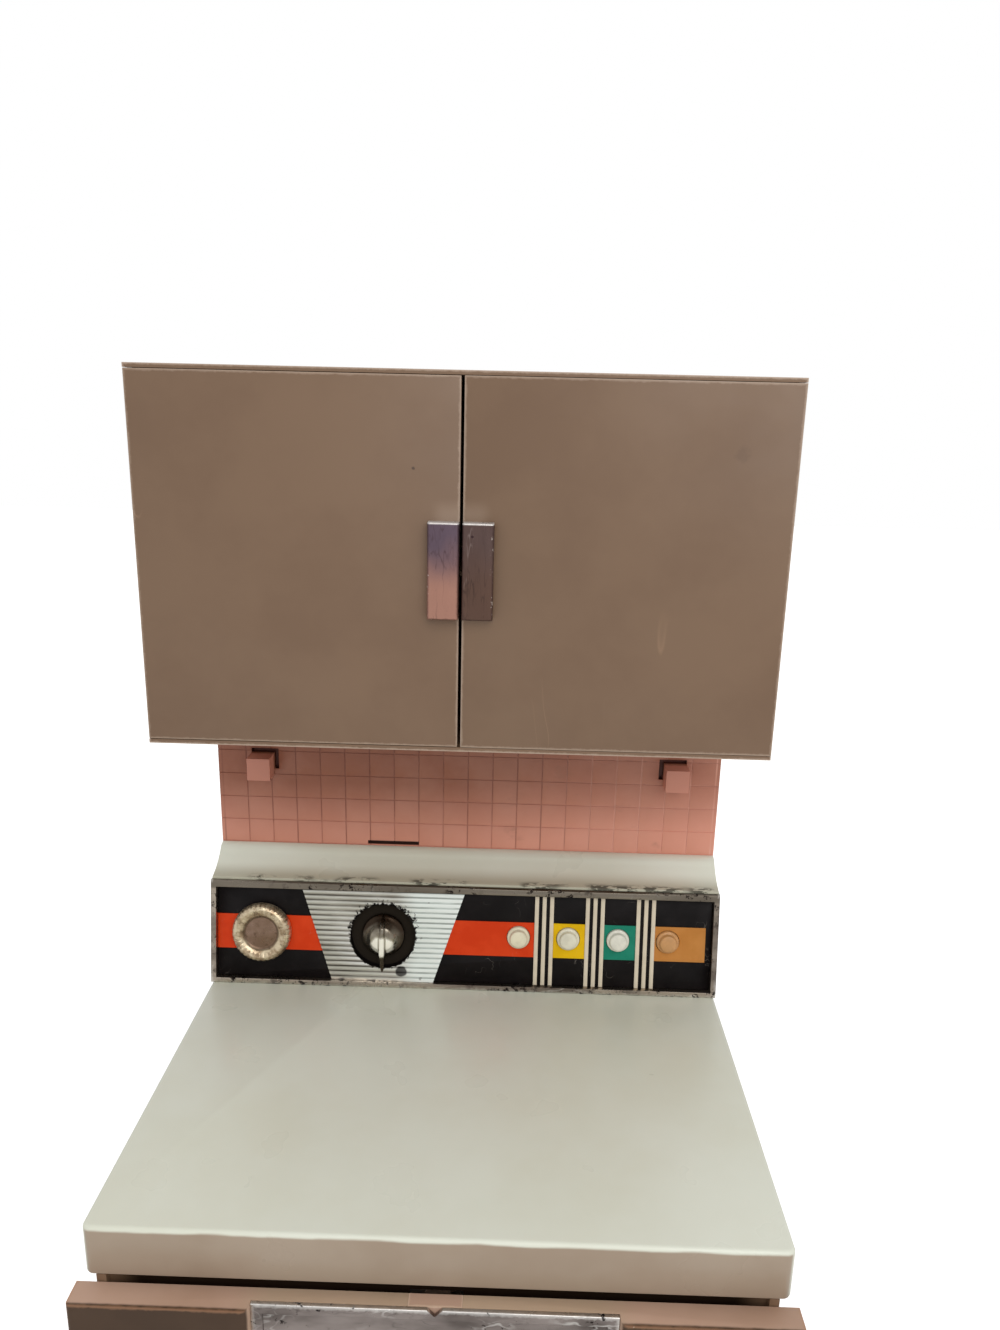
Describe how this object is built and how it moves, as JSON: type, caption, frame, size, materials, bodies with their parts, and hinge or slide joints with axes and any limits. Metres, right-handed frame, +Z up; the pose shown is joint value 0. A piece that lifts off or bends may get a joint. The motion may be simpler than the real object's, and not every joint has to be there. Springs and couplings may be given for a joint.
{
  "type": "toy dishwasher",
  "caption": "Doll's kitchen unit: dishwasher with a drop-down door, rack and spray arm under a counter, a console, a tiled board and a two-door wall cabinet.",
  "frame": {"origin": "on the floor, at the middle of the width and of the depth", "axes": "+Z up, -Y out of the front of the doors, +X to the right as seen from the front"},
  "size_m": [0.182, 0.137, 0.3605],
  "materials": {
    "tan_plastic": "moulded taupe plastic, satin, lightly scratched",
    "lower_tan_plastic": "moulded pinkish tan plastic, satin",
    "pink_plastic": "moulded pink plastic with pressed tile lines",
    "cream_plastic": "moulded cream plastic, aged",
    "plated_plastic": "vacuum-plated plastic, worn at its edges",
    "champagne_plating": "yellowed plating",
    "ribbed_foil": "ribbed silver",
    "black_panel": "black paint",
    "orange_strip": "printed",
    "yellow_strip": "printed",
    "teal_strip": "printed",
    "sand_strip": "printed",
    "ivory_bar": "raised ivory bars",
    "white_button": "moulded",
    "sand_button": "moulded",
    "white_liner": "moulded liner",
    "blue_rack": "moulded pale blue basket",
    "steel": "bright steel",
    "spring_steel": "wire",
    "brass": "stamped",
    "rubber": "round belt",
    "motor_steel": "plated can",
    "cell_jacket": "plain jacket",
    "inner_plastic": "dark moulded",
    "copper_lead": "insulated lead"
  },
  "bodies": {
    "cabinet": {"base_cabinet": "tan_plastic", "catch_strike": "steel", "base_plate": "inner_plastic", "kick_plate": "tan_plastic", "tub": "white_liner", "rack_runners": "white_liner", "arm_bush": "inner_plastic", "drive_belt": "rubber", "motor_case": "motor_steel", "motor_bracket": "inner_plastic", "battery_box": "inner_plastic", "battery_cells": "cell_jacket", "battery_contacts": "brass", "back_cover": "tan_plastic", "cover_screws": "steel", "board_screws": "steel", "wiring": "copper_lead", "countertop": "cream_plastic", "console_housing": "cream_plastic", "console_bezel": "plated_plastic", "console_panel": "black_panel", "orange_band": "orange_strip", "yellow_band": "yellow_strip", "teal_band": "teal_strip", "tan_band": "sand_strip", "divider_bars": "ivory_bar", "dial_plate": "ribbed_foil", "cycle_switch": "inner_plastic", "button_carrier": "inner_plastic", "tile_board": "pink_plastic", "wall_cabinet": "tan_plastic", "cabinet_shelf": "tan_plastic", "leaf_pins": "steel", "hinge_pins": "steel", "button_spring_1": "spring_steel", "button_spring_2": "spring_steel", "button_spring_3": "spring_steel", "button_spring_4": "spring_steel"},
    "lower_door": {"lower_door": "lower_tan_plastic", "door_plate": "plated_plastic", "door_liner": "white_liner", "liner_screws": "steel", "door_catch": "lower_tan_plastic"},
    "rack": {"dish_rack": "blue_rack"},
    "spray_arm": {"spray_arm": "blue_rack", "arm_shaft": "steel", "arm_pulley": "inner_plastic"},
    "rotor": {"motor_spindle": "steel", "motor_pulley": "inner_plastic"},
    "left_door": {"left_leaf": "tan_plastic", "left_handle": "plated_plastic"},
    "right_door": {"right_leaf": "tan_plastic", "right_handle": "plated_plastic"},
    "timer": {"timer_knob": "champagne_plating"},
    "cycle": {"cycle_knob": "plated_plastic"},
    "hatch": {"battery_hatch": "tan_plastic"},
    "button_1": {"button_1": "white_button"},
    "button_2": {"button_2": "white_button"},
    "button_3": {"button_3": "white_button"},
    "button_4": {"button_4": "sand_button"}
  },
  "joints": [
    {"name": "lower_door_hinge", "type": "hinge", "parent": "cabinet", "child": "lower_door", "pos_m": [0, -0.0575, 0.023], "axis": [1, 0, 0], "range_deg": [0, 90]},
    {"name": "rack_slide", "type": "slide", "parent": "cabinet", "child": "rack", "axis": [0, -1, 0], "range_m": [0, 0.06]},
    {"name": "spray_arm_spin", "type": "hinge", "parent": "cabinet", "child": "spray_arm", "pos_m": [0, -0.013, 0.035], "axis": [0, 0, 1], "continuous": true},
    {"name": "rotor_spin", "type": "hinge", "parent": "cabinet", "child": "rotor", "pos_m": [0, 0.04825, 0.018], "axis": [0, 0, 1], "continuous": true},
    {"name": "left_door_hinge", "type": "hinge", "parent": "cabinet", "child": "left_door", "pos_m": [-0.08735, 0.00665, 0.3082], "axis": [0, 0, -1], "range_deg": [0, 100]},
    {"name": "right_door_hinge", "type": "hinge", "parent": "cabinet", "child": "right_door", "pos_m": [0.08735, 0.00665, 0.3082], "axis": [0, 0, 1], "range_deg": [0, 100]},
    {"name": "timer_turn", "type": "hinge", "parent": "cabinet", "child": "timer", "pos_m": [-0.0713, 0.04759, 0.17065], "axis": [0, -0.9866, 0.1633], "range_deg": [-150, 150]},
    {"name": "cycle_turn", "type": "hinge", "parent": "cabinet", "child": "cycle", "pos_m": [-0.0285, 0.0475, 0.1701], "axis": [0, -0.9866, 0.1633], "range_deg": [-150, 150]},
    {"name": "battery_hatch_hinge", "type": "hinge", "parent": "cabinet", "child": "hatch", "pos_m": [0, 0.0673, 0.0653], "axis": [-1, 0, 0], "range_deg": [0, 95]},
    {"name": "button_1_press", "type": "slide", "parent": "cabinet", "child": "button_1", "axis": [0, 0.9866, -0.1633], "range_m": [0, 0.0015], "stiffness_N_per_m": 150, "springref_m": -0.001, "deforming": ["button_spring_1"]},
    {"name": "button_2_press", "type": "slide", "parent": "cabinet", "child": "button_2", "axis": [0, 0.9866, -0.1633], "range_m": [0, 0.0015], "stiffness_N_per_m": 150, "springref_m": -0.001, "deforming": ["button_spring_2"]},
    {"name": "button_3_press", "type": "slide", "parent": "cabinet", "child": "button_3", "axis": [0, 0.9866, -0.1633], "range_m": [0, 0.0015], "stiffness_N_per_m": 150, "springref_m": -0.001, "deforming": ["button_spring_3"]},
    {"name": "button_4_press", "type": "slide", "parent": "cabinet", "child": "button_4", "axis": [0, 0.9866, -0.1633], "range_m": [0, 0.0015], "stiffness_N_per_m": 150, "springref_m": -0.001, "deforming": ["button_spring_4"]}
  ],
  "couplings": [
    {"joint": "rack_slide", "follows": "lower_door_hinge", "m_per_rad": 0.038},
    {"joint": "rotor_spin", "follows": "spray_arm_spin", "ratio": 4.1818}
  ]
}
